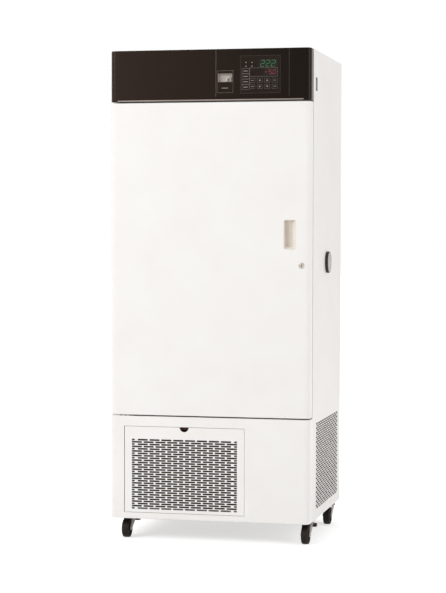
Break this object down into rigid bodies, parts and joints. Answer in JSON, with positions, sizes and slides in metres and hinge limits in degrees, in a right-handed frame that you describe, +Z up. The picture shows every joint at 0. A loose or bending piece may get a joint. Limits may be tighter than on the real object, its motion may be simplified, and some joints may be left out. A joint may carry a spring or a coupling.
{
  "type": "cooled incubator",
  "caption": "Tall upright cooled incubator: white steel cabinet on casters, one solid door with a recessed handle, black control header, slotted machine grille and a side cable port.",
  "frame": {"origin": "on the floor, under the middle of the cabinet", "axes": "+X to the right as seen from the front, the door faces -Y, +Z up"},
  "size_m": [0.721, 0.658, 1.705],
  "materials": {
    "white_powder_coat": "satin",
    "zinc_plated_steel": "satin",
    "black_header_enamel": "gloss",
    "anodised_trim": "satin",
    "stainless_steel": "satin",
    "rigid_foam": "matte",
    "white_gasket": "matte",
    "cream_plastic": "satin",
    "grey_plastic": "matte",
    "black_plastic": "matte",
    "key_plastic": "satin",
    "nickel_plated_brass": "polished",
    "bare_aluminium": "satin",
    "black_machine_enamel": "satin",
    "black_tread": "matte"
  },
  "bodies": {
    "cabinet": {"left_side_panel": "white_powder_coat", "right_side_panel": "white_powder_coat", "top_panel": "white_powder_coat", "back_panel": "white_powder_coat", "base_front_panel": "white_powder_coat", "hinge_brackets": "white_powder_coat", "base_pan": "zinc_plated_steel", "fan_shroud": "zinc_plated_steel", "screws": "zinc_plated_steel", "caster_stems": "zinc_plated_steel", "header_cover": "black_header_enamel", "control_panel": "black_header_enamel", "header_trim": "anodised_trim", "chamber_liner": "stainless_steel", "shelf_uprights": "stainless_steel", "shelf_clips": "stainless_steel", "shelf_1": "stainless_steel", "shelf_2": "stainless_steel", "shelf_3": "stainless_steel", "duct_panel": "stainless_steel", "heater": "stainless_steel", "insulation_slabs": "rigid_foam", "terminal_cover": "grey_plastic", "breaker_body": "grey_plastic", "port_collar": "black_plastic", "power_gland": "black_plastic", "evaporator": "bare_aluminium", "condenser": "bare_aluminium", "compressor": "black_machine_enamel", "fan_motors": "black_machine_enamel"},
    "door": {"door_skin": "white_powder_coat", "door_foam": "rigid_foam", "door_liner": "stainless_steel", "door_gasket": "white_gasket", "handle_cup": "cream_plastic", "lock_barrel": "nickel_plated_brass"},
    "lock_core": {"lock_core": "nickel_plated_brass"},
    "port_plug": {"port_plug": "grey_plastic"},
    "breaker_lever": {"breaker_lever": "black_plastic"},
    "grille_panel": {"grille_panel": "white_powder_coat"},
    "circulation_fan": {"circulation_fan": "bare_aluminium"},
    "condenser_fan": {"condenser_fan": "black_plastic"},
    "menu_key": {"menu_key": "key_plastic"},
    "left_key": {"left_key": "key_plastic"},
    "up_key": {"up_key": "key_plastic"},
    "enter_key": {"enter_key": "key_plastic"},
    "timer_key": {"timer_key": "key_plastic"},
    "right_key": {"right_key": "key_plastic"},
    "down_key": {"down_key": "key_plastic"},
    "start_key": {"start_key": "key_plastic"},
    "front_left_fork": {"front_left_fork": "zinc_plated_steel"},
    "front_left_wheel": {"front_left_wheel": "black_tread"},
    "front_right_fork": {"front_right_fork": "zinc_plated_steel"},
    "front_right_wheel": {"front_right_wheel": "black_tread"},
    "rear_left_fork": {"rear_left_fork": "zinc_plated_steel"},
    "rear_left_wheel": {"rear_left_wheel": "black_tread"},
    "rear_right_fork": {"rear_right_fork": "zinc_plated_steel"},
    "rear_right_wheel": {"rear_right_wheel": "black_tread"},
    "front_left_brake": {"front_left_brake": "black_plastic"},
    "front_right_brake": {"front_right_brake": "black_plastic"}
  },
  "joints": [
    {"name": "door_hinge", "type": "hinge", "parent": "cabinet", "child": "door", "pos_m": [-0.335, -0.3025, 0.9805], "axis": [0, 0, -1], "range_deg": [0, 115]},
    {"name": "door_lock", "type": "hinge", "parent": "door", "child": "lock_core", "pos_m": [0.3245, -0.308, 0.9625], "axis": [0, 1, 0], "range_deg": [0, 90]},
    {"name": "port_plug_pull", "type": "slide", "parent": "cabinet", "child": "port_plug", "axis": [1, 0, 0], "range_m": [0, 0.07]},
    {"name": "breaker_lever_throw", "type": "hinge", "parent": "cabinet", "child": "breaker_lever", "pos_m": [0.0678, -0.318, 1.6058], "axis": [1, 0, 0], "range_deg": [0, 50]},
    {"name": "grille_tilt", "type": "hinge", "parent": "cabinet", "child": "grille_panel", "pos_m": [-0.0873, -0.3225, 0.097], "axis": [1, 0, 0], "range_deg": [0, 60]},
    {"name": "circulation_fan_spin", "type": "hinge", "parent": "cabinet", "child": "circulation_fan", "pos_m": [0, 0.2305, 1.3105], "axis": [0, 1, 0], "continuous": true},
    {"name": "condenser_fan_spin", "type": "hinge", "parent": "cabinet", "child": "condenser_fan", "pos_m": [-0.09, -0.2245, 0.24], "axis": [0, 1, 0], "continuous": true},
    {"name": "menu_key_press", "type": "slide", "parent": "cabinet", "child": "menu_key", "axis": [0, 1, 0], "range_m": [0, 0.0008], "stiffness_N_per_m": 400, "springref_m": -0.0005},
    {"name": "left_key_press", "type": "slide", "parent": "cabinet", "child": "left_key", "axis": [0, 1, 0], "range_m": [0, 0.0008], "stiffness_N_per_m": 400, "springref_m": -0.0005},
    {"name": "up_key_press", "type": "slide", "parent": "cabinet", "child": "up_key", "axis": [0, 1, 0], "range_m": [0, 0.0008], "stiffness_N_per_m": 400, "springref_m": -0.0005},
    {"name": "enter_key_press", "type": "slide", "parent": "cabinet", "child": "enter_key", "axis": [0, 1, 0], "range_m": [0, 0.0008], "stiffness_N_per_m": 400, "springref_m": -0.0005},
    {"name": "timer_key_press", "type": "slide", "parent": "cabinet", "child": "timer_key", "axis": [0, 1, 0], "range_m": [0, 0.0008], "stiffness_N_per_m": 400, "springref_m": -0.0005},
    {"name": "right_key_press", "type": "slide", "parent": "cabinet", "child": "right_key", "axis": [0, 1, 0], "range_m": [0, 0.0008], "stiffness_N_per_m": 400, "springref_m": -0.0005},
    {"name": "down_key_press", "type": "slide", "parent": "cabinet", "child": "down_key", "axis": [0, 1, 0], "range_m": [0, 0.0008], "stiffness_N_per_m": 400, "springref_m": -0.0005},
    {"name": "start_key_press", "type": "slide", "parent": "cabinet", "child": "start_key", "axis": [0, 1, 0], "range_m": [0, 0.0008], "stiffness_N_per_m": 400, "springref_m": -0.0005},
    {"name": "front_left_swivel", "type": "hinge", "parent": "cabinet", "child": "front_left_fork", "pos_m": [-0.306, -0.2395, 0.088], "axis": [0, 0, 1], "continuous": true},
    {"name": "front_left_roll", "type": "hinge", "parent": "front_left_fork", "child": "front_left_wheel", "pos_m": [-0.306, -0.2735, 0.0325], "axis": [1, 0, 0], "continuous": true},
    {"name": "front_left_brake_tread", "type": "hinge", "parent": "front_left_fork", "child": "front_left_brake", "pos_m": [-0.306, -0.2205, 0.059], "axis": [-1, 0, 0], "range_deg": [0, 12]},
    {"name": "front_right_swivel", "type": "hinge", "parent": "cabinet", "child": "front_right_fork", "pos_m": [0.334, -0.2395, 0.088], "axis": [0, 0, 1], "continuous": true},
    {"name": "front_right_roll", "type": "hinge", "parent": "front_right_fork", "child": "front_right_wheel", "pos_m": [0.334, -0.2735, 0.0325], "axis": [1, 0, 0], "continuous": true},
    {"name": "front_right_brake_tread", "type": "hinge", "parent": "front_right_fork", "child": "front_right_brake", "pos_m": [0.334, -0.2205, 0.059], "axis": [-1, 0, 0], "range_deg": [0, 12]},
    {"name": "rear_left_swivel", "type": "hinge", "parent": "cabinet", "child": "rear_left_fork", "pos_m": [-0.306, 0.2115, 0.088], "axis": [0, 0, 1], "continuous": true},
    {"name": "rear_left_roll", "type": "hinge", "parent": "rear_left_fork", "child": "rear_left_wheel", "pos_m": [-0.306, 0.1775, 0.0325], "axis": [1, 0, 0], "continuous": true},
    {"name": "rear_right_swivel", "type": "hinge", "parent": "cabinet", "child": "rear_right_fork", "pos_m": [0.334, 0.2115, 0.088], "axis": [0, 0, 1], "continuous": true},
    {"name": "rear_right_roll", "type": "hinge", "parent": "rear_right_fork", "child": "rear_right_wheel", "pos_m": [0.334, 0.1775, 0.0325], "axis": [1, 0, 0], "continuous": true}
  ]
}
